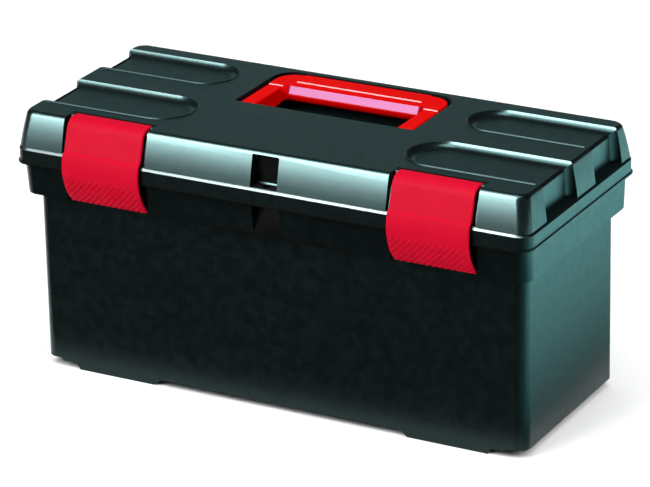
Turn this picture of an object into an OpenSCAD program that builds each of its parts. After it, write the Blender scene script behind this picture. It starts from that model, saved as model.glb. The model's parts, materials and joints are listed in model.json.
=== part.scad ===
// Toolbox with tray: moulded box, hinged lid, two snap latches, folding handle and lift-out tray.
// Millimetres. +X runs along the box, -Y is the front with the latches, +Z is up, z = 0 is the feet.

/* [Box] */

// Overall length over the lid's lip
length = 500; // [450:1:560]
// Overall depth over the lid's lip
depth = 218; // [196:1:244]
// Height of the lid's top above the feet
height = 243; // [218:1:272]
// Wall thickness of the mouldings
wall = 2.5; // [2:0.1:3.5]
// Length of the straight lower wall
body_length = 475; // [424:0.5:528]
// Depth of the straight lower wall
body_depth = 180; // [164:0.5:204]
// Vertical corner radius of the lower wall
body_corner = 11; // [6:0.5:20]
// Height of the collar's underside
collar_z = 166.5; // [150:0.5:186]
// Collar length where it meets the lid
collar_length = 490.5; // [440:0.5:550]
// Collar depth where it meets the lid
collar_depth = 208.5; // [186:0.5:236]
// How much the collar's front and back taper in towards its underside
collar_taper = 3.5; // [0:0.25:5]
// Height of the collar's rim, inside the lid
rim_z = 207.5; // [190:0.5:230]

/* [Feet] */

// Inner end of each foot pad
foot_in = 126; // [100:1:150]
// Outer end of each foot pad
foot_out = 202; // [180:1:215]
// Height of the floor between the pads
foot_height = 5.5; // [3:0.5:10]
// Height of the raised corners
corner_height = 8; // [4:0.5:14]

/* [Lid] */

// Height of the lid skirt's lower edge
skirt_z = 196.5; // [180:0.5:216]
// Height of the ledge on top of the skirt
ledge_z = 211.5; // [195:0.5:235]
// How far the lip at the skirt's lower edge stands out
lip_out = 1.25; // [0.5:0.25:3]
// Height of that lip
lip_height = 2.5; // [1:0.25:5]
// Skirt wall thickness
skirt_wall = 2.2; // [1.6:0.1:3]
// Depth of the four shallow channels in the lid's top
channel_deep = 5; // [3:0.5:8]
// Angle at which a channel's coved side meets the lid's top
cove_angle = 60; // [40:5:75]
// Width of the front channels
front_channel_wide = 60; // [50:1:66]
// Middle line of the front channels
front_channel_y = -39; // [-45:1:-33]
// Where the front channels end, from the middle of the box
front_channel_in = 106; // [100:1:125]
// Width of the rear channels
rear_channel_wide = 54; // [46:1:60]
// Middle line of the rear channels
rear_channel_y = 54; // [48:1:60]
// Where the rear channels end, from the middle of the box
rear_channel_in = 117; // [105:1:130]
// Largest depth of the scallops in the lid's ends
scallop_deep = 8.8; // [5:0.2:11]

/* [Handle] */

// Half width over the handle's arms
handle_half = 84.5; // [75:0.5:90]
// Width of one arm
arm_wide = 14.8; // [11:0.2:18]
// Rear edge of the grip
grip_back = 87; // [80:1:92]
// Front edge of the grip
grip_front = 55; // [50:1:62]
// Depth of the grip, top to bottom
grip_deep = 15; // [12:0.5:18]
// Radius of an arm's rounded end, half the arm's depth
arm_end = 8.5; // [7:0.5:10]
// Radius of an arm's upper front corner
nose_r = 2.5; // [2:0.5:6]
// Position of the handle's pivot
handle_pivot_y = 13; // [11:0.5:16]
// Radius of the two handle pins
handle_pin_r = 2.5; // [2:0.1:3]
// Depth of the pocket that the handle lies in
pocket_deep = 24; // [20:1:26]

/* [Latches] */

// Distance of each latch's middle from the middle of the box
latch_x = 158.5; // [150:0.5:175]
// Width of a latch
latch_wide = 76; // [66:1:84]
// Thickness of the latch plate
latch_thick = 3; // [2:0.2:4]
// Width of the recess around a latch
recess_wide = 84; // [76:1:92]
// Radius of the latch's barrel
barrel_r = 3; // [2.5:0.1:4]
// Radius of the pins and rods that everything turns on
rod_r = 1.5; // [1:0.1:2]
// Radial running clearance round those pins
running = 0.06; // [0.01:0.01:0.1]

/* [Padlock] */

// Width of the padlock recess in the lid
lock_wide = 26; // [20:1:32]
// Height of the recess's floor plate above the ledge
lock_floor = 0.5; // [0:0.5:2]
// Back wall of that recess
lock_back = -93.5; // [-94.5:0.5:-93]
// Radius of the recess's upper corners
lock_corner = 1.5; // [0.5:0.5:3]
// Chamfer along the back of the recess's floor
lock_chamfer = 1.2; // [0.4:0.2:2]
// Position of the padlock hole
lock_y = -99; // [-101:0.5:-98]
// Radius of the padlock hole through lid and body
lock_r = 4; // [3:0.5:4.5]

/* [Tray] */

// Length of the tray's upper part, which rests on the shelf
tray_length = 478; // [470:1:480]
// Depth of the tray, front to back
tray_depth = 173; // [168:0.5:174]
// Height of the tray's floor underside
tray_bottom = 156; // [150:1:165]
// Height of the tray's rim
tray_top = 202; // [195:1:204]
// Tray wall thickness
tray_wall = 2; // [1.6:0.1:3]
// Thickness of a loose divider
divider_thick = 1.8; // [1.4:0.1:2.2]

// Which node to draw

/* [Hidden] */

$fn = 48;
tiny = 0.01;
far = 400;

black = [0.05, 0.06, 0.06];
red = [0.85, 0.05, 0.06];
crimson = [0.82, 0.05, 0.13];
steel = [0.7, 0.7, 0.72];
grey = [0.25, 0.27, 0.28];

skirt_length = length - 2 * lip_out;
skirt_depth = depth - 2 * lip_out;
ledge_round = 2;
crown_length = skirt_length - 3;
crown_depth = skirt_depth - 3;
crown_side = 0.65;
crown_round = 5;
crown_lean_low = 9.8;
crown_lean_top = 16;

collar_radius = 13;
shelf_z = collar_z + wall;
wall_front = -body_depth / 2;
pocket_plane = wall_front - wall;

pocket_half = handle_half + 3.5;
pocket_front = 1.5;
pocket_back = grip_back + 3;
pocket_corner = 20;
handle_pivot_z = height - arm_end;

barrel_y = -86;
barrel_z = height - barrel_r;
shoulder_r = 12;
shoulder_y = -90.5;
shoulder_lean = 18;
crease_z = 215.5;
crease_step = 3.6;
claw_r = 46.3;
claw_y = -67.3;
claw_z = 200.2;
claw_from = 164;
claw_to = 227.6;

hinge_y = 109.6;
hinge_z = 195.5;
hinge_r = 4;
hinge_x = 150;
knuckle = 12;
knuckle_gap = 0.5;

tray_step_z = shelf_z + 0.3;
tray_tub_length = 460;
tray_tub_depth = 171;
divider_x = [-130, -65, 65, 130];

// ---------------------------------------------------------------- helpers

module rounded(l, d, r) {
    square([l - 2 * r, d], center = true);
    square([l, d - 2 * r], center = true);
    for (x = [-1, 1], y = [-1, 1])
        translate([x * (l / 2 - r), y * (d / 2 - r)])
            circle(r);
}

module block(l, d, r, z0, z1) {
    translate([0, 0, z0])
        linear_extrude(z1 - z0)
            rounded(l, d, r);
}

module slab(l, d, r, z) {
    translate([0, 0, z])
        linear_extrude(tiny)
            rounded(l, d, r);
}

// A box given by its low and high corners
module span(low, high) {
    translate(low)
        cube(high - low);
}

// A profile drawn as [y, z] and pulled along X between two positions
module along_x(x0, x1) {
    translate([x0, 0, 0])
        rotate([90, 0, 90])
            linear_extrude(x1 - x0)
                children();
}

module rod(x0, x1, y, z, r) {
    translate([x0, y, z])
        rotate([0, 90, 0])
            cylinder(h = x1 - x0, r = r);
}

module both_latches() {
    for (s = [-1, 1])
        translate([s * latch_x, 0, 0])
            children();
}

function arc(cy, cz, r, a0, a1, n) =
    [for (i = [0:n]) let (a = a0 + (a1 - a0) * i / n) [cy + r * cos(a), cz + r * sin(a)]];

// ---------------------------------------------------------------- body

// Side view of the underside: pads, lower floor and raised corners, lifted by t for the inside
module foot_line(t) {
    e = body_length;
    polygon([[-e, far], [-e, corner_height + t], [-222, corner_height + t], [-218, foot_height + t],
        [-foot_out - 3.5, foot_height + t], [-foot_out, t], [-foot_in, t], [-foot_in + 8, foot_height + t],
        [foot_in - 8, foot_height + t], [foot_in, t], [foot_out, t], [foot_out + 3.5, foot_height + t],
        [218, foot_height + t], [222, corner_height + t], [e, corner_height + t], [e, far]]);
}

module lower_wall(t) {
    intersection() {
        block(body_length - 2 * t, body_depth - 2 * t, body_corner - t, -1, rim_z);
        translate([0, far, 0])
            rotate([90, 0, 0])
                linear_extrude(2 * far)
                    foot_line(t);
    }
}

module collar_solid(t, z0, z1) {
    l = collar_length - 2 * t;
    d = collar_depth - 2 * t;
    hull() {
        slab(l, d - 2 * collar_taper, collar_radius - t, z0);
        slab(l, d, collar_radius - t, skirt_z);
    }
    block(l, d, collar_radius - t, skirt_z, z1);
}

// Wedge under the padlock hole: open at the front, deepest at the top
module lock_wedge(t) {
    y1 = pocket_plane + 0.5 + t;
    along_x(-lock_wide / 2 - 0.5 - t, lock_wide / 2 + 0.5 + t)
        polygon([[-far, collar_z + 1.5 - 2 * t], [-102 + t, collar_z + 1.5 - 2 * t],
            [y1, skirt_z - 6], [y1, rim_z - 4], [-far, rim_z - 4]]);
}

module body_knuckles() {
    for (s = [-1, 1], i = [0, 2, 4]) {
        x = s * hinge_x + (i - 2.5) * knuckle;
        difference() {
            union() {
                rod(x, x + knuckle - knuckle_gap, hinge_y, hinge_z, hinge_r);
                along_x(x, x + knuckle - knuckle_gap)
                    polygon([[hinge_y + 1, hinge_z - hinge_r + 0.13], [hinge_y - 2, hinge_z],
                        [102, hinge_z], [101.5, hinge_z - 15], [103.3, hinge_z - 15]]);
            }
            rod(x - 1, x + knuckle, hinge_y, hinge_z, rod_r);
        }
    }
}

module body_shell() {
    half = recess_wide / 2 - 1;
    color(black)
    difference() {
        union() {
            lower_wall(0);
            collar_solid(0, collar_z, rim_z);
        }
        difference() {
            union() {
                lower_wall(wall);
                collar_solid(wall, shelf_z, rim_z + 1);
            }
            both_latches()
                span([-half - wall, -far, collar_z], [half + wall, wall_front, rim_z + 2]);
            span([-lock_wide / 2 - 3, -far, collar_z], [lock_wide / 2 + 3, wall_front + 0.5, rim_z + 2]);
        }
        both_latches()
            span([-half, -far, collar_z - 1], [half, pocket_plane, rim_z + 1]);
        lock_wedge(0);
        translate([0, lock_y, rim_z - 20])
            cylinder(h = 40, r = lock_r);
    }
    color(black)
        body_knuckles();
    color(black)
    both_latches()
        along_x(-30, 30)
            polygon([[pocket_plane + 1, 175], [pocket_plane, 175], [pocket_plane - 2, 180.5],
                [pocket_plane - 2, 182], [pocket_plane, 183], [pocket_plane + 1, 183]]);
}

// ---------------------------------------------------------------- lid

// Rise above the ledge and inset of the front and back: a face that leans in more and more, then a round
function crown_steps(n_face, n_round) =
    let (rise = height - ledge_z - crown_round * (1 - sin(crown_lean_top)),
        curve = (tan(crown_lean_top) - tan(crown_lean_low)) / (2 * rise),
        inset = rise * tan(crown_lean_low) + curve * rise * rise)
    concat([for (i = [0:n_face - 1]) let (z = rise * i / n_face)
            [z, z * tan(crown_lean_low) + curve * z * z]],
        [for (i = [0:n_round]) let (a = crown_lean_top + (90 - crown_lean_top) * i / n_round)
            [height - ledge_z - crown_round * (1 - sin(a)),
            inset + crown_round * (cos(crown_lean_top) - cos(a))]]);

module crown_solid(t) {
    hull()
        for (s = t > 0 ? crown_steps(2, 2) : crown_steps(6, 6))
            slab(crown_length - 2 * crown_side * s[1] - 2 * t, crown_depth - 2 * s[1] - 2 * t,
                10 - t, ledge_z + s[0] - (s[0] > 0 ? t : 0) - (t > 0 && s[0] == 0 ? wall + 1 : 0));
}

// Half of a channel's section, from its middle line to its rim: a flat floor and a coved side
module channel_half(r, t) {
    cove_r = channel_deep / (1 - cos(cove_angle));
    steps = t > 0 ? 3 : 6;
    floor_r = r - cove_r * sin(cove_angle);
    low = height - channel_deep - t;
    polygon(concat([[0, height + 1], [0, low]],
        [for (i = [0:steps]) let (a = cove_angle * i / steps)
            [floor_r + cove_r * sin(a) + t, low + cove_r * (1 - cos(a))]],
        [[r + t, height + 1]]));
}

// Shallow channel that opens at the lid's end, grown by t for the inside
module channel(s, y, w, x_in, t) {
    mirror([s < 0 ? 1 : 0, 0, 0])
        translate([x_in + w / 2, y, 0]) {
            rotate_extrude()
                channel_half(w / 2, t);
            along_x(0, far)
                for (k = [0, 1])
                    mirror([k, 0])
                        channel_half(w / 2, t);
        }
}

// Upright scallop in the lid's end, under a channel
module scallop(s, y, w, t) {
    deep = crown_length / 2 - scallop_deep - t;
    r = 8;
    mirror([s < 0 ? 1 : 0, 0, 0])
        translate([deep, y, ledge_z - (t > 0 ? wall + 2 : 0)])
            linear_extrude(far) {
                translate([r, -w / 2 - t])
                    square([far, w + 2 * t]);
                translate([0, -w / 2 + r - t])
                    square([far, w - 2 * r + 2 * t]);
                for (k = [-1, 1])
                    translate([r, k * (w / 2 - r + t)])
                        circle(r);
            }
}

module all_channels(t) {
    for (s = [-1, 1]) {
        channel(s, front_channel_y, front_channel_wide, front_channel_in, t);
        channel(s, rear_channel_y, rear_channel_wide, rear_channel_in, t);
        scallop(s, front_channel_y, front_channel_wide, t);
        scallop(s, rear_channel_y, rear_channel_wide, t);
    }
}

// Space the handle lies in
module handle_pocket(t) {
    h = pocket_half + t;
    translate([0, 0, height - pocket_deep - t])
        linear_extrude(pocket_deep + t + 1) {
            translate([-h, pocket_front - t])
                square([2 * h, pocket_back - pocket_front - pocket_corner + t]);
            translate([-h + pocket_corner, pocket_front - t])
                square([2 * (h - pocket_corner), pocket_back - pocket_front + 2 * t]);
            for (k = [-1, 1])
                translate([k * (h - pocket_corner), pocket_back - pocket_corner + t])
                    circle(pocket_corner);
        }
}

// Recess that a latch lies in, following the latch down to the ledge
module latch_recess(t) {
    half = recess_wide / 2 + t;
    low = t > 0 ? ledge_z - wall - 2 : ledge_z;
    along_x(-half, half)
        polygon([[-82.2 + t, far], [-82.2 + t, 236 - t], [-93 + t / 2, 236 - t], [-97.5 + t, 231.5 - t / 2],
            [-101.3 + t, 220], [-103.5 + t, low], [-far, low], [-far, far]]);
}

// Recess over the padlock hole, with rounded upper corners and a chamfer along the back of its floor
module lock_recess(t) {
    half = lock_wide / 2 + t;
    back = lock_back + t;
    low = t > 0 ? ledge_z - wall - 2 : ledge_z + lock_floor;
    top = t > 0 ? far : height - 3;
    difference() {
        translate([0, back, 0])
            rotate([90, 0, 0])
                linear_extrude(far) {
                    translate([-half, low])
                        square([2 * half, top - low - 2 * lock_corner]);
                    translate([-half + lock_corner, low + lock_corner])
                        offset(r = lock_corner)
                            square([2 * (half - lock_corner), top - low - 2 * lock_corner]);
                }
        if (t == 0)
            along_x(-half, half)
                polygon([[back + 1, low - 1], [back - lock_chamfer, low - 1], [back - lock_chamfer, low],
                    [back, low + lock_chamfer], [back + 1, low + lock_chamfer]]);
    }
}

module lid_knuckles() {
    for (s = [-1, 1], i = [1, 3]) {
        x = s * hinge_x + (i - 2.5) * knuckle;
        rod(x, x + knuckle - knuckle_gap, hinge_y, hinge_z, hinge_r);
        along_x(x, x + knuckle - knuckle_gap)
            polygon([[skirt_depth / 2 - 2, 200], [skirt_depth / 2 - 2, hinge_z + 1], [hinge_y, hinge_z],
                [hinge_y + hinge_r - 0.1, hinge_z], [skirt_depth / 2 - 0.5, 205]]);
    }
}

module lid_shell() {
    pin_half = recess_wide / 2 + 5;
    color(black)
    difference() {
        union() {
            difference() {
                union() {
                    block(length, depth, 14, skirt_z, skirt_z + lip_height - 1);
                    block(skirt_length, skirt_depth, 13, skirt_z, ledge_z - ledge_round);
                    hull()
                        for (t = [0, ledge_round])
                            slab(skirt_length - 2 * t, skirt_depth - 2 * t, 13 - t / 2,
                                ledge_z - ledge_round + t - tiny);
                    crown_solid(0);
                }
                all_channels(0);
                handle_pocket(0);
                both_latches()
                    latch_recess(0);
                lock_recess(0);
                block(skirt_length - 2 * skirt_wall, skirt_depth - 2 * skirt_wall, 11,
                    skirt_z - 1, ledge_z - wall - 0.5);
                difference() {
                    crown_solid(wall);
                    all_channels(wall);
                    handle_pocket(wall);
                    both_latches()
                        latch_recess(wall);
                    lock_recess(wall);
                    for (s = [-1, 1])
                        rod(s * pocket_half - 8, s * pocket_half + 8, handle_pivot_y, handle_pivot_z, 5.5);
                    both_latches()
                        rod(-pin_half, pin_half, barrel_y, barrel_z, barrel_r + 1.5);
                }
            }
            both_latches()
                for (k = [-1, 1])
                    difference() {
                        intersection() {
                            union() {
                                rod(-recess_wide / 2 - 1, recess_wide / 2 + 1, barrel_y, barrel_z, barrel_r);
                                span([-recess_wide / 2 - 1, barrel_y - 1, 233],
                                    [recess_wide / 2 + 1, -81, barrel_z]);
                            }
                            span([k > 0 ? latch_wide / 2 + 0.4 : -far, -far, 0],
                                [k > 0 ? far : -latch_wide / 2 - 0.4, far, far]);
                        }
                        crown_solid(wall);
                    }
            lid_knuckles();
        }
        // holes for the pins
        for (s = [-1, 1]) {
            rod(s * hinge_x - 40, s * hinge_x + 40, hinge_y, hinge_z, rod_r + running);
            rod(s > 0 ? pocket_half - 2 : -pocket_half - 6, s > 0 ? pocket_half + 6 : -pocket_half + 2,
                handle_pivot_y, handle_pivot_z, handle_pin_r + running);
        }
        both_latches()
            rod(-recess_wide / 2 - 3.5, recess_wide / 2 + 3.5, barrel_y, barrel_z, rod_r);
        translate([0, lock_y, 180])
            cylinder(h = 50, r = lock_r);
        // room in the rear of the skirt for the body's knuckles
        for (s = [-1, 1], i = [0, 2, 4])
            span([s * hinge_x + (i - 2.5) * knuckle - knuckle_gap, 100, skirt_z - 1],
                [s * hinge_x + (i - 1.5) * knuckle, far, hinge_z + hinge_r + 0.8]);
    }
}

// ---------------------------------------------------------------- latches

function latch_outer(t) = concat(
    [[barrel_y, height - t]],
    arc(shoulder_y, height - shoulder_r, shoulder_r - t, 90, 180 - shoulder_lean, 10),
    [let (z = crease_z + t * 0.4)
        [shoulder_y - (shoulder_r - t) * cos(shoulder_lean)
            - (height - shoulder_r + (shoulder_r - t) * sin(shoulder_lean) - z) * tan(shoulder_lean), z]],
    arc(claw_y, claw_z, claw_r - t, claw_from, claw_to, 18));

function reverse(v) = [for (i = [len(v) - 1:-1:0]) v[i]];

module latch_section() {
    polygon(concat(latch_outer(0), reverse(latch_outer(latch_thick))));
}

// Slanting grip ribs on the lower end
module latch_ribs() {
    intersection() {
        along_x(-latch_wide / 2 + 2, latch_wide / 2 - 2)
            polygon(concat(arc(claw_y, claw_z, claw_r + 0.6, 194, 224, 10),
                reverse(arc(claw_y, claw_z, claw_r - 1, 194, 224, 10))));
        for (i = [-9:9])
            translate([i * 6, -130, 180])
                rotate([0, 32, 0])
                    translate([-1.2, 0, -60])
                        cube([2.4, 60, 120]);
    }
}

module latch() {
    half = latch_wide / 2;
    difference() {
        union() {
            rod(-half, half, barrel_y, barrel_z, barrel_r);
            along_x(-half, half)
                latch_section();
            latch_ribs();
            along_x(-28, 28)
                polygon([[-103.5, 173.5], [-96.4, 176.5], [-96.4, 178.3], [-106, 184]]);
        }
        rod(-half - 1, half + 1, barrel_y, barrel_z, rod_r + running);
    }
}

module latch_left() {
    color(crimson)
    translate([-latch_x, 0, 0])
        latch();
}

module latch_right() {
    color(crimson)
    translate([latch_x, 0, 0])
        latch();
}

module latch_pin(x) {
    color(steel)
        rod(x - recess_wide / 2 - 3.5, x + recess_wide / 2 + 3.5, barrel_y, barrel_z, rod_r);
}

module hinge_pin(x) {
    color(steel)
        rod(x - 2.5 * knuckle, x + 2.5 * knuckle - knuckle_gap, hinge_y, hinge_z, rod_r);
}

// ---------------------------------------------------------------- handle

module grip_section() {
    r = 4;
    translate([(grip_front + grip_back) / 2, height - grip_deep / 2])
        rounded(grip_back - grip_front, grip_deep, r);
}

// An arm seen from the side: round under the pivot, squarer at its upper nose
module arm_section() {
    nose = handle_pivot_y - arm_end;
    translate([handle_pivot_y, handle_pivot_z])
        circle(arm_end);
    translate([handle_pivot_y, height - 2 * arm_end])
        square([grip_back - 8 - handle_pivot_y, 2 * arm_end]);
    translate([nose, handle_pivot_z])
        square([arm_end, arm_end - nose_r]);
    translate([nose + nose_r, handle_pivot_z])
        square([arm_end - nose_r, arm_end]);
    translate([nose + nose_r, height - nose_r])
        circle(nose_r);
}

module handle_outline() {
    r = 18;
    h = handle_half;
    translate([-h, 0])
        square([2 * h, grip_back - r]);
    translate([-h + r, 0])
        square([2 * (h - r), grip_back]);
    for (k = [-1, 1])
        translate([k * (h - r), grip_back - r])
            circle(r);
}

module handle() {
    color(red)
    difference() {
        intersection() {
            union() {
                along_x(-handle_half, handle_half)
                    grip_section();
                for (k = [-1, 1])
                    translate([k * (handle_half - arm_wide / 2), 0, 0])
                        along_x(-arm_wide / 2, arm_wide / 2)
                            arm_section();
            }
            translate([0, 0, height - 2 * arm_end - 1])
                linear_extrude(2 * arm_end + 2)
                    handle_outline();
        }
        for (k = [-1, 1])
            rod(k > 0 ? handle_half - 10 : -handle_half - 1, k > 0 ? handle_half + 1 : -handle_half + 10,
                handle_pivot_y, handle_pivot_z, handle_pin_r);
    }
}

module handle_pin(s) {
    a = handle_half - 10;
    b = pocket_half + 5;
    color(steel)
        rod(s > 0 ? a : -b, s > 0 ? b : -a, handle_pivot_y, handle_pivot_z, handle_pin_r);
}

// ---------------------------------------------------------------- tray

module tray_outer(t) {
    top = tray_top + (t > 0 ? 1 : 0);
    block(tray_tub_length - 2 * t, tray_tub_depth - 2 * t, 9 - t, tray_bottom + t, top);
    block(tray_length - 2 * t, tray_depth - 2 * t, 9 - t, tray_step_z + t, top);
}

module tray() {
    w = tray_wall;
    color(grey)
    difference() {
        union() {
            difference() {
                tray_outer(0);
                tray_outer(w);
            }
            // middle wall that carries the grip, and two end bays
            intersection() {
                tray_outer(w / 2);
                union() {
                    span([-far, -4, tray_bottom], [far, 4, tray_top]);
                    for (x = [-170, 170])
                        span([x - w / 2, -far, tray_bottom], [x + w / 2, -3, tray_top - 4]);
                }
            }
            // guide ribs for the loose dividers
            for (x = divider_x, k = [-1, 1], y = [4, tray_tub_depth / 2 - w - 3])
                span([x + (k > 0 ? divider_thick / 2 + 0.2 : -divider_thick / 2 - 1.7), y, tray_bottom + 1],
                    [x + (k > 0 ? divider_thick / 2 + 1.7 : -divider_thick / 2 - 0.2), y + 3, tray_top - 8]);
        }
        // the middle wall is hollow from below
        span([-far / 2, -4 + w, tray_bottom - 1], [far / 2, 4 - w, tray_top - 14]);
        // finger hole under the grip bar
        span([-50, -10, tray_bottom + 16], [50, 10, tray_top - 12]);
    }
}

module tray_divider(i) {
    w = tray_wall;
    color(red)
        span([divider_x[i] - divider_thick / 2, 4.3, tray_bottom + w],
            [divider_x[i] + divider_thick / 2, tray_tub_depth / 2 - w - 0.3, tray_top - 10]);
}

// ---------------------------------------------------------------- nodes

body_shell();
lid_shell();
hinge_pin(-hinge_x);  // hinge_pin_left
hinge_pin(hinge_x);  // hinge_pin_right
latch_left();
latch_right();
latch_pin(-latch_x);  // latch_pin_left
latch_pin(latch_x);  // latch_pin_right
handle();
handle_pin(-1);  // handle_pin_left
handle_pin(1);  // handle_pin_right
tray();
tray_divider(0);  // tray_divider_1
tray_divider(1);  // tray_divider_2
tray_divider(2);  // tray_divider_3
tray_divider(3);  // tray_divider_4
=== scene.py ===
import json
from math import cos, pi, radians, sin, tan

import bmesh
import bpy
from mathutils import Matrix, Vector


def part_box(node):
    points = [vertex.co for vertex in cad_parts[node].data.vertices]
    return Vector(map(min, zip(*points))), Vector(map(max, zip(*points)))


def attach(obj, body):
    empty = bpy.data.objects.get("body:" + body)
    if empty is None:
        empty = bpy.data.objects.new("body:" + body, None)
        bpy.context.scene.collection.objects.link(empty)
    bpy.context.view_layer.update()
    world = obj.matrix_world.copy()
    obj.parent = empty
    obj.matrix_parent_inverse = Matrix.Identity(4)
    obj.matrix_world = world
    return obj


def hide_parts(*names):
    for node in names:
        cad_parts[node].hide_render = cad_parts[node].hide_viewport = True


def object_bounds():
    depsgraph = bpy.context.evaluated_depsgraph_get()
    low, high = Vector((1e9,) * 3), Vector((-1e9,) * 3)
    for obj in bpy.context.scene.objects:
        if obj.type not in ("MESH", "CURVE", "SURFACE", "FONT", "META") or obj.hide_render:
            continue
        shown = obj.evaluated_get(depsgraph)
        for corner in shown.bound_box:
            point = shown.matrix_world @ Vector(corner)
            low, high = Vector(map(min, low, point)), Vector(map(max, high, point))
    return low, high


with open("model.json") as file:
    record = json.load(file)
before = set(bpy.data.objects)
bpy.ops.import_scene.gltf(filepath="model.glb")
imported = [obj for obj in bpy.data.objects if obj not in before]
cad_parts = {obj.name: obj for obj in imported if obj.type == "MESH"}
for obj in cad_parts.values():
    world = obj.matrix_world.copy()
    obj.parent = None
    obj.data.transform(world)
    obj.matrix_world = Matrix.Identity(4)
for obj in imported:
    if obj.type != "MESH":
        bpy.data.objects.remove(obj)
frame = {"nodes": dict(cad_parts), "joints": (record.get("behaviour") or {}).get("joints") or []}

MM = 0.001
cad_low, cad_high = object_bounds()
CENTRE = (cad_low + cad_high) / 2

# ------------------------------------------------------------------ camera

VIEW_AZIMUTH = radians(28.82)
VIEW_ELEVATION = radians(22.04)
VIEW_ROLL = radians(-1.229)
VIEW_DISTANCE = 3.323
VIEW_AIM = CENTRE + Vector((18.5, -33.3, 17.6)) * MM
LENS = 212.7


def make_camera():
    back = Vector((sin(VIEW_AZIMUTH) * cos(VIEW_ELEVATION), -cos(VIEW_AZIMUTH) * cos(VIEW_ELEVATION),
                   sin(VIEW_ELEVATION)))
    right = (-back).cross(Vector((0, 0, 1))).normalized()
    up = right.cross(-back)
    turned_right = right * cos(VIEW_ROLL) + up * sin(VIEW_ROLL)
    turned_up = up * cos(VIEW_ROLL) - right * sin(VIEW_ROLL)
    data = bpy.data.cameras.new("camera")
    data.lens = LENS
    data.clip_start, data.clip_end = 0.1, 60
    camera = bpy.data.objects.new("camera", data)
    bpy.context.scene.collection.objects.link(camera)
    turn = Matrix((turned_right, turned_up, back)).transposed()
    camera.matrix_world = Matrix.Translation(VIEW_AIM + back * VIEW_DISTANCE) @ turn.to_4x4()
    bpy.context.scene.camera = camera


make_camera()

# ------------------------------------------------------------------ materials


class Shader:
    """A material's node tree, built a node at a time."""

    def __init__(self, name):
        self.material = bpy.data.materials.new(name)
        self.material.use_nodes = True
        self.tree = self.material.node_tree
        self.bsdf = self.tree.nodes["Principled BSDF"]
        self.place = self.add("ShaderNodeTexCoord").outputs["Object"]

    def add(self, kind, values=(), links=(), **settings):
        node = self.tree.nodes.new(kind)
        for key, value in settings.items():
            setattr(node, key, value)
        for key, value in dict(values).items():
            node.inputs[key].default_value = value
        for key, source in dict(links).items():
            self.tree.links.new(source, node.inputs[key])
        return node

    def noise(self, scale, detail=2, roughness=0.5):
        return self.add("ShaderNodeTexNoise", {"Scale": scale, "Detail": detail, "Roughness": roughness},
                        {"Vector": self.place}).outputs["Fac"]

    def spread(self, source, low, high, from_low=0.3, from_high=0.7):
        """The source's range from_low to from_high turned into low to high."""
        return self.add("ShaderNodeMapRange", {"From Min": from_low, "From Max": from_high,
                                               "To Min": low, "To Max": high},
                        {"Value": source}).outputs["Result"]

    def mix(self, factor, a, b):
        """A colour between a and b, which are colours or other nodes' outputs."""
        node = self.add("ShaderNodeMix", data_type="RGBA")
        self.tree.links.new(factor, node.inputs["Factor"])
        for socket, colour in ((node.inputs[6], a), (node.inputs[7], b)):
            if isinstance(colour, tuple):
                socket.default_value = (*colour, 1)
            else:
                self.tree.links.new(colour, socket)
        return node.outputs[2]

    def use(self, socket, source):
        self.tree.links.new(source, self.bsdf.inputs[socket])

    def bump(self, height, strength, distance, under=None):
        links = {"Height": height}
        if under is not None:
            links["Normal"] = under
        return self.add("ShaderNodeBump", {"Strength": strength, "Distance": distance},
                        links).outputs["Normal"]


MOTTLE_SCALE = 60
WEAR_SCALE = 35
WEAR_FROM, WEAR_FULL = 0.66, 0.78
WORN_GAIN, WORN_LIFT = 1.08, 0.0008
SMEAR_SCALE = 140
GRAIN_SCALE, GRAIN_HEIGHT = 900, 0.3 * MM
WAVE_SCALE, WAVE_HEIGHT, WAVE_STRENGTH = 8, 0.6 * MM, 0.1
SHEEN_ROUGHNESS = 0.35
SHEEN_TINT = (0.42, 1, 1, 1)
LEDGE_IOR = 1.72


def moulded_plastic(name, colour, deep, roughness, grain, specular=0.5, tint=(1, 1, 1), sheen=0.0,
                    wander=0.04):
    """Plastic with a mottle between colour and deep, worn spots, an uneven gloss and a fine grain."""
    s = Shader(name)
    mottle = s.mix(s.spread(s.noise(MOTTLE_SCALE, detail=4), 0, 1), deep, colour)
    rubbed = s.spread(s.noise(WEAR_SCALE, detail=8, roughness=0.7), 0, 1, WEAR_FROM, WEAR_FULL)
    worn = tuple(min(1, c * WORN_GAIN + WORN_LIFT) for c in colour)
    s.use("Base Color", s.mix(rubbed, mottle, worn))
    s.use("Roughness", s.spread(s.noise(SMEAR_SCALE, detail=3), roughness - wander, roughness + wander))
    wave = s.bump(s.noise(WAVE_SCALE), WAVE_STRENGTH, WAVE_HEIGHT)
    s.use("Normal", s.bump(s.noise(GRAIN_SCALE, detail=3, roughness=0.6), grain, GRAIN_HEIGHT, wave))
    s.bsdf.inputs["Specular IOR Level"].default_value = specular
    s.bsdf.inputs["Specular Tint"].default_value = (*tint, 1)
    s.bsdf.inputs["Sheen Weight"].default_value = sheen
    s.bsdf.inputs["Sheen Roughness"].default_value = SHEEN_ROUGHNESS
    s.bsdf.inputs["Sheen Tint"].default_value = SHEEN_TINT
    return s.material


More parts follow.
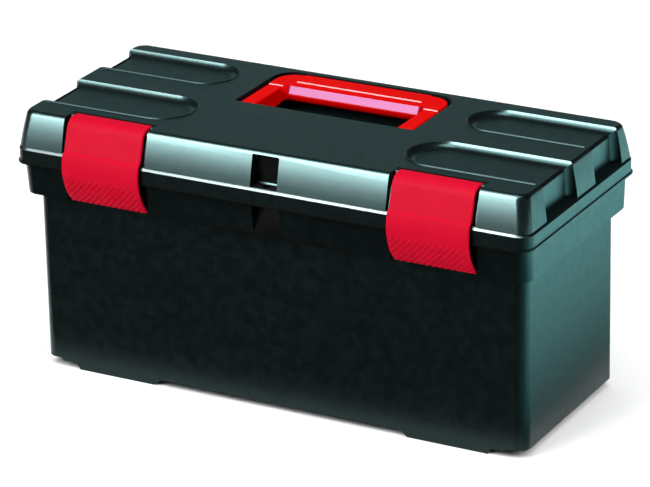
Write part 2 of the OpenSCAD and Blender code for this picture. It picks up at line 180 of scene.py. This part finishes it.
BLACK = moulded_plastic("black_plastic_grain", (0.001, 0.0015, 0.0016), (0.0007, 0.001, 0.0011), 0.34, 0.3,
                        specular=0.3, tint=(0.6, 1, 1), sheen=0.08)
# A dull copy of the black plastic that paints shade in the lock recess, on the lid's lip, round the padlock
# wedge and on the channel outlets.
SHADE_BLACK = moulded_plastic("black_plastic_painted_shade", (0.0014, 0.0018, 0.0018), (0.001, 0.0013, 0.0013), 0.6, 0.2,
                       specular=0.05)
# A lighter, glossier copy of the black plastic for the lid's front band, coves and lock chamfer: it paints
# highlights there.
HIGHLIGHT_BLACK = moulded_plastic("black_plastic_painted_highlight", (0.002, 0.003, 0.003), (0.0014, 0.0022, 0.0022), 0.25, 0.04,
                        specular=1.0, tint=(0.6, 1, 1), wander=0.008)
# A lighter, more reflective copy of the black plastic for the ledge's upper faces: it paints the bright
# highlight line along the ledge.
LEDGE = moulded_plastic("black_plastic_ledge_highlight", (0.002, 0.003, 0.003), (0.0014, 0.0022, 0.0022), 0.3,
                        0.04, specular=1.0, tint=(0.8, 1, 1), wander=0.008)
LEDGE.node_tree.nodes["Principled BSDF"].inputs["IOR"].default_value = LEDGE_IOR
CRIMSON = moulded_plastic("crimson_plastic", (0.43, 0.0018, 0.018), (0.4, 0.0015, 0.015), 0.45, 0.1,
                          specular=0.02)
RED = moulded_plastic("red_plastic", (0.47, 0.0006, 0.0004), (0.44, 0.0006, 0.0003), 0.3, 0.05,
                      specular=0.01)
# A glossier copy of the red with a pink-tinted reflection for the grip's front facet: it paints the pink
# highlight band there.
GRIP = moulded_plastic("red_plastic_grip_highlight", (0.3, 0.001, 0.002), (0.28, 0.001, 0.001), 0.22, 0.04,
                       specular=0.42, tint=(0.62, 0.5, 1), wander=0.008)
# A lighter, glossier copy of the red for the steps' risers: it paints the thin highlight lines there.
EDGE = moulded_plastic("red_plastic_riser_highlight", (0.5, 0.001, 0.0006), (0.47, 0.001, 0.0005), 0.25, 0.04,
                       specular=0.5, wander=0.008)
DIVIDER = moulded_plastic("divider_plastic", (0.5, 0.004, 0.004), (0.42, 0.003, 0.003), 0.42, 0.12,
                          specular=0.2)
GREY = moulded_plastic("tray_plastic_grain", (0.05, 0.055, 0.058), (0.035, 0.04, 0.042), 0.45, 0.2)
STEEL = moulded_plastic("steel", (0.6, 0.6, 0.62), (0.5, 0.5, 0.52), 0.3, 0.05)
STEEL.node_tree.nodes["Principled BSDF"].inputs["Metallic"].default_value = 1

# ------------------------------------------------------------------ carried-over CAD nodes

SHELL_ROUND, TRAY_ROUND, SMALL_ROUND = 0.6, 0.4, 0.3
ROUND_SEGMENTS = 2
SOFTEN_ANGLE = 35
WELD_GAP = 0.002


def soften(node, width):
    """Rounds the sharp edges of a CAD node by width, in millimetres."""
    piece = frame["nodes"][node]
    for polygon in piece.data.polygons:
        polygon.use_smooth = True
    weld = piece.modifiers.new("weld", "WELD")
    weld.merge_threshold = WELD_GAP * MM
    flat = piece.modifiers.new("flat", "DECIMATE")
    flat.decimate_type = "DISSOLVE"
    flat.angle_limit = radians(1)
    flat.delimit = {"MATERIAL"}
    bevel = piece.modifiers.new("bevel", "BEVEL")
    bevel.width = width * MM
    bevel.segments = ROUND_SEGMENTS
    bevel.limit_method = "ANGLE"
    bevel.angle_limit = radians(SOFTEN_ANGLE)
    bevel.use_clamp_overlap = True
    bevel.harden_normals = False
    bevel.miter_outer = "MITER_ARC"
    normals = piece.modifiers.new("normals", "WEIGHTED_NORMAL")
    normals.keep_sharp = True
    return piece


def paint(piece, *materials):
    piece.data.materials.clear()
    for material in materials:
        piece.data.materials.append(material)


def paint_by_place(piece, materials, choose):
    """Gives each polygon the material that choose picks for its normal and its place in millimetres."""
    paint(piece, *materials)
    for polygon in piece.data.polygons:
        polygon.material_index = materials.index(choose(polygon.normal, polygon.center / MM))


# Where the lid's and body's painted highlights and painted shade go, in millimetres. The front is at
# negative y.
LEDGE_LOW, LEDGE_HIGH, LEDGE_BACK = 208.5, 213, -100
BAND_LOW, BAND_BACK = 212, -95
COVE_LOW, COVE_HIGH, COVE_FRONT = 238.2, 243.2, -80
LOCK_HALF, LOCK_FRONT, LOCK_BACK = 14.5, -104.5, -90
LOCK_LOW, LOCK_HIGH, LOCK_CHAMFER_HIGH = 200, 240.5, 216
WEDGE_LOW, WEDGE_HIGH = 160, 208
LIP_HIGH, LIP_BACK = 201, -107.9


def lid_surface(normal, place):
    """The lid's material: lighter glossy copies of the black plastic paint highlights on the ledge, band,
    coves and chamfer; a dull copy paints shade in the lock recess and on the lip.
    """
    x, y, z = place
    in_lock = abs(x) < LOCK_HALF and LOCK_FRONT < y < LOCK_BACK and LOCK_LOW < z < LOCK_HIGH
    if LEDGE_LOW < z < LEDGE_HIGH and normal.z > 0.05 and y < LEDGE_BACK:
        return LEDGE
    if z > BAND_LOW and normal.y < -0.3 and y < BAND_BACK:
        return HIGHLIGHT_BLACK
    if COVE_LOW < z < COVE_HIGH and 0.4 < normal.z < 0.99 and y > COVE_FRONT:
        return HIGHLIGHT_BLACK
    if in_lock and -0.9 < normal.y < -0.3 and normal.z > 0.3 and z < LOCK_CHAMFER_HIGH:
        return HIGHLIGHT_BLACK
    if in_lock or (z < LIP_HIGH and y < LIP_BACK):
        return SHADE_BLACK
    return BLACK


def body_surface(normal, place):
    """The body's material: a dull copy of the black plastic paints shade on and round the padlock wedge."""
    x, y, z = place
    on_wedge = abs(x) < LOCK_HALF and y < LOCK_BACK and WEDGE_LOW < z < WEDGE_HIGH
    return SHADE_BLACK if on_wedge else BLACK


paint_by_place(soften("body_shell", SHELL_ROUND), [BLACK, SHADE_BLACK], body_surface)
paint_by_place(soften("lid_shell", SHELL_ROUND), [BLACK, HIGHLIGHT_BLACK, LEDGE, SHADE_BLACK], lid_surface)
paint(soften("tray", TRAY_ROUND), GREY)
for name in frame["nodes"]:
    if "_pin_" in name:
        paint(soften(name, SMALL_ROUND), STEEL)
    if "divider" in name:
        paint(soften(name, SMALL_ROUND), DIVIDER)

# ------------------------------------------------------------------ mesh helpers


def arc(u, v, r, a0, a1, n):
    """Points of an arc about (u, v), from angle a0 to a1 in degrees, in n steps."""
    return [(u + r * cos(radians(a0 + (a1 - a0) * i / n)), v + r * sin(radians(a0 + (a1 - a0) * i / n)))
            for i in range(n + 1)]


def ramp(value, low, high):
    """0 below low and 1 above high, with a straight run between."""
    return min(1, max(0, (value - low) / (high - low)))


def skin(bm, rings):
    """Closes a stack of rings of vertices into a tube with both ends shut."""
    for a, b in zip(rings, rings[1:]):
        for k in range(len(a)):
            j = (k + 1) % len(a)
            bm.faces.new((a[k], a[j], b[j], b[k]))
    for ring in (rings[0], rings[-1]):
        bm.faces.new(ring)


def make_piece(name, bm, material, node, body, width, angle):
    """Turns a bmesh in millimetres into a piece on a body; node is the CAD node it stands for, if any."""
    bmesh.ops.scale(bm, vec=(MM, MM, MM), verts=bm.verts)
    bmesh.ops.recalc_face_normals(bm, faces=bm.faces)
    mesh = bpy.data.meshes.new(name)
    bm.to_mesh(mesh)
    bm.free()
    for polygon in mesh.polygons:
        polygon.use_smooth = True
    piece = bpy.data.objects.new(name, mesh)
    bpy.context.scene.collection.objects.link(piece)
    mesh.materials.append(material)
    bevel = piece.modifiers.new("bevel", "BEVEL")
    bevel.width = width * MM
    bevel.segments = ROUND_SEGMENTS
    bevel.limit_method = "ANGLE"
    bevel.angle_limit = radians(angle)
    piece.modifiers.new("normals", "WEIGHTED_NORMAL").keep_sharp = True
    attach(piece, body)
    if node:
        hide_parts(node)
    return piece


# ------------------------------------------------------------------ latches

BARREL_R = 3
PLATE = 3
SHOULDER_R, SHOULDER_BACK, SHOULDER_LEAN = 12, 4.5, 18
CREASE_DROP, CREASE_INSET = 27.5, 0.4
SHOULDER_STEPS, FACE_STEPS, BULGE_STEPS, BARREL_STEPS, INNER_STEPS = 10, 4, 10, 12, 8
CREASE_ROW = SHOULDER_STEPS + FACE_STEPS
CLAW_R, CLAW_BACK, CLAW_DROP = 46.3, 18.7, 42.8
CLAW_FROM, RIBS_FROM, CLAW_TO = 164, 188, 227.6
RIB_PITCH = 5.8
RIB_HEIGHT, RIB_SINK = 1.35, 0.35
RIB_SLANT = 0.9
RIB_ROWS = 46
RIB_RISE, RIB_FALL = (0, 0.35), (0.5, 0.85)
RIB_START, RIB_STOP = (0, 1.5), (1.2, 2.6)
RIB_MARGIN = 1.2
COLUMN = 0.55
LATCH_ROUND, LATCH_ANGLE = 0.5, 50
CATCH_HALF = 28
# The catch's bar from the side, as (y, z)
CATCH = [(-103.5, 173.5), (-96.4, 176.5), (-96.4, 178.3), (-106, 184)]


def latch_lines(barrel_y, top):
    """The latch from the side: its outer line from barrel to claw, its inner line back, and its barrel."""
    shoulder = (barrel_y - SHOULDER_BACK, top - SHOULDER_R)
    claw = (barrel_y + CLAW_BACK, top - CLAW_DROP)
    lean = radians(SHOULDER_LEAN)

    def line(t, ribs):
        """The line that lies t inside the outer face."""
        z = top - CREASE_DROP + CREASE_INSET * t
        run = shoulder[1] + (SHOULDER_R - t) * sin(lean) - z
        crease = (shoulder[0] - (SHOULDER_R - t) * cos(lean) - run * tan(lean), z)
        down = arc(*shoulder, SHOULDER_R - t, 90, 180 - SHOULDER_LEAN, SHOULDER_STEPS)
        face = [tuple(p + (q - p) * i / FACE_STEPS for p, q in zip(down[-1], crease))
                for i in range(1, FACE_STEPS + 1)]
        bulge = arc(*claw, CLAW_R - t, CLAW_FROM, RIBS_FROM, BULGE_STEPS)
        return down + face + bulge + arc(*claw, CLAW_R - t, RIBS_FROM, CLAW_TO, ribs)[1:]

    barrel = arc(barrel_y, top - BARREL_R, BARREL_R, 180, 450, BARREL_STEPS)
    return line(0, RIB_ROWS), line(PLATE, INNER_STEPS)[::-1], barrel


def rib(x, run, half, length):
    """Height of the slanting grip ribs at x across the latch and run along its lower end."""
    phase = ((x + run * RIB_SLANT) / RIB_PITCH) % 1
    shape = ramp(phase, *RIB_RISE) - ramp(phase, *RIB_FALL)
    start, stop = ramp(run, *RIB_START), ramp(length - run, *RIB_STOP)
    side = ramp(half - RIB_MARGIN - abs(x), 0, RIB_MARGIN)
    return RIB_HEIGHT * (shape * side * stop - RIB_SINK) * start


def make_latch(side):
    node = "latch_" + side
    low, high = (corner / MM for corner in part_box(node))
    joint = next(j for j in frame["joints"] if j["name"] == node + "_hinge")
    barrel_y = joint["pos_m"][1] / MM
    middle, half = (low.x + high.x) / 2, (high.x - low.x) / 2
    outer, inner, barrel = latch_lines(barrel_y, high.z)
    claw = Vector((0, barrel_y + CLAW_BACK, high.z - CLAW_DROP))
    columns = round(2 * half / COLUMN)
    first = len(outer) - RIB_ROWS
    length = radians(CLAW_TO - RIBS_FROM) * CLAW_R
    bm = bmesh.new()
    rows = []
    for i, (y, z) in enumerate(outer):
        run = (i - first) / (RIB_ROWS - 1) * length
        out = (Vector((0, y, z)) - claw).normalized()
        row = []
        for k in range(columns + 1):
            x = -half + 2 * half * k / columns
            lift = rib(x, run, half, length) if i >= first else 0
            row.append(bm.verts.new(Vector((middle + x, y, z)) + out * lift))
        rows.append(row)
    back = [[bm.verts.new((middle + k * half, y, z)) for k in (-1, 1)] for y, z in inner[:-1] + barrel[:-1]]
    for a, b in zip(rows, rows[1:]):
        for k in range(columns):
            bm.faces.new((a[k], a[k + 1], b[k + 1], b[k]))
    for row in rows[CREASE_ROW:CREASE_ROW + 2]:
        for a, b in zip(row, row[1:]):
            bm.edges.get((a, b)).smooth = False
    for a, b in zip(back, back[1:]):
        bm.faces.new((a[0], a[1], b[1], b[0]))
    bm.faces.new([back[-1][0], back[-1][1]] + rows[0][::-1])
    bm.faces.new(rows[-1] + [back[0][1], back[0][0]])
    for k, end in ((0, 0), (1, -1)):
        bm.faces.new([row[end] for row in rows] + [pair[k] for pair in back])
    skin(bm, [[bm.verts.new((middle + k * CATCH_HALF, y, z)) for y, z in CATCH] for k in (-1, 1)])
    make_piece("snap_" + node, bm, CRIMSON, node, node, LATCH_ROUND, LATCH_ANGLE)


make_latch("left")
make_latch("right")

# ------------------------------------------------------------------ channel rims and outlets

# For each pair of channels: near edge, radius of the round inner end and how far out its centre is
CHANNELS = {"front": (-69, 30, 136), "rear": (27, 27, 144)}
CHANNEL_DEEP = 5
COVE_R, COVE_ANGLE = 10, 60
LID_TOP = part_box("lid_shell")[1].z / MM
TRIM_ROUND, TRIM_ANGLE = 0.05, 60

RIM_WIDE, RIM_HIGH = 1.15, 0.95
RIM_PROFILE = [(-1, -0.8), (-1, 0), (-0.35, 1), (0.35, 1), (1, 0), (1, -0.8)]
RIM_END = 237.6
RIM_SINK = 0.05
RIM_STEPS, TURN_STEPS, FADE_STEPS = 24, 28, 20
TURN_FROM, TURN_TO = 270, 130
TIP_WIDE = 0.4


def make_rim(name, side, front, radius, centre_x):
    """A low bead along a channel's near edge and round its inner end, where it fades out."""
    path = [(RIM_END - (RIM_END - centre_x) * i / RIM_STEPS, front) for i in range(RIM_STEPS)]
    path += arc(centre_x, front + radius, radius, TURN_FROM, TURN_TO, TURN_STEPS)
    bm = bmesh.new()
    rings = []
    for i, (x, y) in enumerate(path):
        ahead, behind = path[min(i + 1, len(path) - 1)], path[max(i - 1, 0)]
        along = (Vector(ahead) - Vector(behind)).normalized()
        out = Vector((-along.y, along.x))
        fade = ramp(len(path) - 1 - i, 0, FADE_STEPS)
        ring = []
        for across, up in RIM_PROFILE:
            shift = out * RIM_WIDE * (across * (TIP_WIDE + (1 - TIP_WIDE) * fade) + 1)
            z = LID_TOP + up * RIM_HIGH * fade - RIM_SINK
            ring.append(bm.verts.new((side * (x + shift.x), y + shift.y, z)))
        rings.append(ring)
    skin(bm, rings)
    piece = make_piece(name, bm, BLACK, None, "lid", TRIM_ROUND, TRIM_ANGLE)
    for polygon in piece.data.polygons:
        polygon.use_smooth = False


OUTLET_X = 238.45
OUTLET_STEPS = 6
OUTLET_PROFILE = [(-3.4, -0.3), (-3.4, 0.04), (-2.2, 0.2), (-0.6, 0.24),
                  (0.15, -0.1), (0.28, -0.8), (0.28, -1.6), (-0.3, -1.6)]


def make_outlet(name, side, front, radius):
    """A rounded edge in a dull copy of the black plastic where a channel's flat floor runs out over the
    lid's end; it paints the dark line of shade along that edge.
    """
    floor = LID_TOP - CHANNEL_DEEP
    cove = COVE_R * sin(radians(COVE_ANGLE))
    near, far = front + cove, front + 2 * radius - cove
    bm = bmesh.new()
    rings = []
    for i in range(OUTLET_STEPS + 1):
        y = near + (far - near) * i / OUTLET_STEPS
        rings.append([bm.verts.new((side * (OUTLET_X + x), y, floor + h)) for x, h in OUTLET_PROFILE])
    skin(bm, rings)
    make_piece(name, bm, SHADE_BLACK, None, "lid", TRIM_ROUND, TRIM_ANGLE)


for row, (front, radius, centre_x) in CHANNELS.items():
    make_rim("rim_" + row + "_left", -1, front, radius, centre_x)
    make_rim("rim_" + row + "_right", 1, front, radius, centre_x)
    make_outlet("outlet_" + row + "_left", -1, front, radius)
    make_outlet("outlet_" + row + "_right", 1, front, radius)

# ------------------------------------------------------------------ handle

ARM_WIDE, ARM_DEEP, ARM_NOSE = 14.8, 17, 1.5
GRIP_FRONT, GRIP_HALF, GRIP_DEEP = 55, 68, 15
INNER_FILLET, REAR_CORNER = 6, 18
EDGE_ROUND, UNDER_ROUND = 1.2, 4
# The grip's long front facet, as steps inwards and down from its upper edge
GRIP_FACET = [(0, 7.4), (0.15, 6.8), (0.6, 6), (2.6, 3.2), (4.6, 0.6), (5.2, 0.15), (6, 0)]
EDGE_STEPS = len(GRIP_FACET) - 1
FACET_REACH, FACET_DROP = 4.5, 6
NOSE_STEPS, RUN_STEPS, REAR_STEPS, FILLET_STEPS = 3, 12, 14, 10
STEP_Y, STEP_RISE = 56, 0.9
PAD_Y, PAD_END, PAD_RISE, PAD_SIDE = 67.6, 62, 0.9, 1.5
RISER_RUN, RISER_SLACK = 0.7, 0.3
LIFTED_DEEP = 3
HANDLE_ROUND, HANDLE_ANGLE = 0.2, 60


def handle_outline(half, front, back):
    """Points round the handle seen from above, each with its share of the grip's facet, 0 to 1."""
    inner = half - ARM_WIDE
    nose_y = front + ARM_NOSE
    rear_x, rear_y = half - REAR_CORNER, back - REAR_CORNER
    fillet_x, fillet_y = inner - INNER_FILLET, GRIP_FRONT - INNER_FILLET
    points = []

    def corner(cx, cy, r, a0, a1, steps, share0=0, share1=0):
        for i, (x, y) in enumerate(arc(cx, cy, r, a0, a1, steps)):
            points.append((x, y, share0 + (share1 - share0) * i / steps))

    def run(x0, y0, x1, y1, share=0):
        for i in range(1, RUN_STEPS):
            points.append((x0 + (x1 - x0) * i / RUN_STEPS, y0 + (y1 - y0) * i / RUN_STEPS, share))

    corner(-half + ARM_NOSE, nose_y, ARM_NOSE, 270, 180, NOSE_STEPS)
    run(-half, nose_y, -half, rear_y)
    corner(-rear_x, rear_y, REAR_CORNER, 180, 90, REAR_STEPS)
    run(-rear_x, back, rear_x, back)
    corner(rear_x, rear_y, REAR_CORNER, 90, 0, REAR_STEPS)
    run(half, rear_y, half, nose_y)
    corner(half - ARM_NOSE, nose_y, ARM_NOSE, 0, -90, NOSE_STEPS)
    corner(inner + ARM_NOSE, nose_y, ARM_NOSE, 270, 180, NOSE_STEPS)
    run(inner, nose_y, inner, fillet_y)
    corner(fillet_x, fillet_y, INNER_FILLET, 0, 90, FILLET_STEPS, 0, 1)
    run(fillet_x, GRIP_FRONT, -fillet_x, GRIP_FRONT, 1)
    corner(-fillet_x, fillet_y, INNER_FILLET, 90, 180, FILLET_STEPS, 1, 0)
    run(-inner, fillet_y, -inner, nose_y)
    corner(-inner - ARM_NOSE, nose_y, ARM_NOSE, 0, -90, NOSE_STEPS)
    return points


def make_handle():
    low, high = (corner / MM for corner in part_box("handle"))
    joint = next(j for j in frame["joints"] if j["name"] == "handle_hinge")
    pivot_y, pivot_z = (joint["pos_m"][i] / MM for i in (1, 2))
    points = handle_outline(high.x, low.y, high.y)
    top = high.z - STEP_RISE - PAD_RISE
    inward = []
    for i in range(len(points)):
        along = Vector(points[(i + 1) % len(points)][:2]) - Vector(points[i - 1][:2])
        inward.append(Vector((along.y, -along.x)).normalized())
    bm = bmesh.new()

    def floor_at(y):
        """The underside: rounded about the pivot under the arms, and higher under the grip."""
        arm = pivot_z - max(0, (high.z - pivot_z) ** 2 - max(0, pivot_y - y) ** 2) ** 0.5
        return arm + (ARM_DEEP - GRIP_DEEP) * ramp(y, GRIP_FRONT - INNER_FILLET, GRIP_FRONT)

    def ring(step, under):
        """A vertex for every outline point, step of EDGE_STEPS of the way round the edge there."""
        lean = pi / 2 * step / EDGE_STEPS
        facet_in, facet_down = GRIP_FACET[step]
        made = []
        for (x, y, share), way in zip(points, inward):
            r = EDGE_ROUND + (UNDER_ROUND - EDGE_ROUND) * share if under else EDGE_ROUND
            move, drop = r * (1 - cos(lean)), r * (1 - sin(lean))
            if not under:
                move += (facet_in - move) * share
                drop += (facet_down - drop) * share
            at = Vector((x, y)) + way * move
            made.append(bm.verts.new((at.x, at.y, floor_at(at.y) + drop if under else top - drop)))
        return made

    def surface(normal, place):
        """The handle's material: lighter copies of the red paint highlights on the steps' risers and on the
        grip's front facet.
        """
        x, y, z = place
        on_pad = PAD_Y < y < PAD_Y + RISER_RUN and abs(x) < PAD_END
        on_step = STEP_Y - RISER_RUN < y < STEP_Y and abs(x) > GRIP_HALF
        if (on_pad or on_step) and normal.y < -0.3 and z > top - RISER_SLACK:
            return EDGE
        on_facet = GRIP_FRONT < y < GRIP_FRONT + FACET_REACH and top - FACET_DROP < z < top + STEP_RISE
        if on_facet and abs(x) < GRIP_HALF and -0.9 < normal.y < -0.7:
            return GRIP
        return RED

    rings = [ring(step, True) for step in range(EDGE_STEPS, -1, -1)]
    rings += [ring(step, False) for step in range(EDGE_STEPS + 1)]
    skin(bm, rings)
    pad_sides = (-PAD_END - PAD_SIDE, -PAD_END, PAD_END, PAD_END + PAD_SIDE)
    risers = (STEP_Y - RISER_RUN, STEP_Y, PAD_Y, PAD_Y + RISER_RUN)
    cuts = [((x, 0, 0), (1, 0, 0)) for x in pad_sides] + [((0, y, 0), (0, 1, 0)) for y in risers]
    for co, normal in cuts:
        bmesh.ops.bisect_plane(bm, geom=bm.verts[:] + bm.edges[:] + bm.faces[:], dist=1e-4,
                               plane_co=co, plane_no=normal)
    for v in bm.verts:
        x, y, z = v.co
        step = ramp(y, STEP_Y - RISER_RUN, STEP_Y)
        pad = ramp(y, PAD_Y, PAD_Y + RISER_RUN) * (1 - ramp(abs(x), PAD_END, PAD_END + PAD_SIDE))
        v.co.z += ramp(z, top - LIFTED_DEEP, top) * (STEP_RISE * step + PAD_RISE * pad)
    piece = make_piece("bail_handle", bm, RED, "handle", "handle", HANDLE_ROUND,
                       HANDLE_ANGLE)
    materials = [RED, GRIP, EDGE]
    paint_by_place(piece, materials, surface)
    for polygon in piece.data.polygons:
        polygon.use_smooth = materials[polygon.material_index] != EDGE


make_handle()

# ------------------------------------------------------------------ stage

FLOOR_SIDE = 24
FLOOR_WHITE, FLOOR_MOTTLED, FLOOR_SCALE = 0.95, 0.94, 3
FLOOR_GAP, CARD_GAP = 0.2 * MM, 0.3 * MM
FLAG_LOW, FLAG_HIGH = (-1.6, -2.4), (1.2, -0.12)
FLAG_BLACK = 0.004


def make_sheet(name, low, high, z):
    mesh = bpy.data.meshes.new(name)
    corners = [(low[0], low[1], z), (high[0], low[1], z), (high[0], high[1], z), (low[0], high[1], z)]
    mesh.from_pydata(corners, [], [(0, 1, 2, 3)])
    sheet = bpy.data.objects.new(name, mesh)
    bpy.context.scene.collection.objects.link(sheet)
    return sheet


def make_floor():
    h = FLOOR_SIDE / 2
    floor = make_sheet("floor", (-h, -h), (h, h), cad_low.z - FLOOR_GAP)
    s = Shader("floor_paper")
    s.use("Base Color", s.mix(s.noise(FLOOR_SCALE), (FLOOR_WHITE,) * 3, (FLOOR_MOTTLED,) * 3))
    s.bsdf.inputs["Roughness"].default_value = 0.9
    s.bsdf.inputs["Specular IOR Level"].default_value = 0.1
    floor.data.materials.append(s.material)


def make_flag():
    """A black card in front of the box that only reflections see, so that its front stays deep black."""
    flag = make_sheet("flag", FLAG_LOW, FLAG_HIGH, cad_low.z + CARD_GAP)
    s = Shader("flag_card")
    s.bsdf.inputs["Base Color"].default_value = (FLAG_BLACK, FLAG_BLACK, FLAG_BLACK, 1)
    s.bsdf.inputs["Specular IOR Level"].default_value = 0
    flag.data.materials.append(s.material)
    flag.visible_camera = flag.visible_diffuse = flag.visible_shadow = False


GLOW_LOW, GLOW_HIGH = (0.26, -0.4), (1.1, 1.4)
GLOW_COLOUR = (0.42, 1, 1)
GLOW_NEAR, GLOW_FAR = 0.26, 0.5
GLOW_WEAK, GLOW_STRONG = 0.1, 3.4


def make_glow():
    """A blue-green card to the right that only reflections see, fading towards the box: the fade is a
    painted contact shadow in the box's reflections.
    """
    glow = make_sheet("glow", GLOW_LOW, GLOW_HIGH, cad_low.z + CARD_GAP)
    s = Shader("glow_card")
    x = s.add("ShaderNodeSeparateXYZ", links={"Vector": s.place}).outputs["X"]
    strength = s.spread(x, GLOW_WEAK, GLOW_STRONG, GLOW_NEAR, GLOW_FAR)
    s.bsdf.inputs["Base Color"].default_value = (0, 0, 0, 1)
    s.bsdf.inputs["Specular IOR Level"].default_value = 0
    s.bsdf.inputs["Emission Color"].default_value = (*GLOW_COLOUR, 1)
    s.use("Emission Strength", strength)
    glow.data.materials.append(s.material)
    glow.visible_camera = glow.visible_diffuse = glow.visible_shadow = False


def area_light(name, azimuth, elevation, distance, size, radiance, only, colour=(1, 1, 1)):
    """A soft light that only glossy or only diffuse rays see. Azimuth 0 is in front, 90 to the right."""
    a, e = radians(azimuth), radians(elevation)
    back = Vector((sin(a) * cos(e), -cos(a) * cos(e), sin(e)))
    data = bpy.data.lights.new(name, "AREA")
    data.shape = "RECTANGLE"
    data.size, data.size_y = size
    data.energy = radiance * pi * size[0] * size[1]
    data.color = colour
    light = bpy.data.objects.new(name, data)
    bpy.context.scene.collection.objects.link(light)
    light.location = CENTRE + back * distance
    light.rotation_mode = "QUATERNION"
    light.rotation_quaternion = (-back).to_track_quat("-Z", "Y")
    light.visible_camera = False
    light.visible_glossy = only == "glossy"
    light.visible_diffuse = only == "diffuse"


WORLD_COLOUR, WORLD_STRENGTH = (0.9, 0.97, 1, 1), 0.045


def make_world():
    world = bpy.data.worlds.new("studio")
    bpy.context.scene.world = world
    world.use_nodes = True
    background = world.node_tree.nodes["Background"]
    background.inputs["Color"].default_value = WORLD_COLOUR
    background.inputs["Strength"].default_value = WORLD_STRENGTH


LIGHT_FAR, TOP_FAR = 2.5, 3

make_floor()
make_flag()
make_glow()
make_world()
area_light("key", -27, 34, LIGHT_FAR, (1.3, 2.4), 20, only="glossy")
area_light("fill", -27, 40, LIGHT_FAR, (1.6, 1.6), 7, only="diffuse")
area_light("top", 0, 90, TOP_FAR, (4, 4), 2.2, only="diffuse")
area_light("right", 75, 35, LIGHT_FAR, (1.5, 1.5), 6.5, only="diffuse")
area_light("back_left", -150, 22, LIGHT_FAR, (2.4, 1.2), 0.28, colour=(0.55, 1, 1), only="glossy")
area_light("high", -27, 75, LIGHT_FAR, (1.3, 1.2), 5, colour=(0.8, 1, 1), only="glossy")
area_light("horizon", -153, 2, LIGHT_FAR, (3, 0.35), 1.5, only="glossy")

bpy.context.scene.view_settings.view_transform = "Standard"
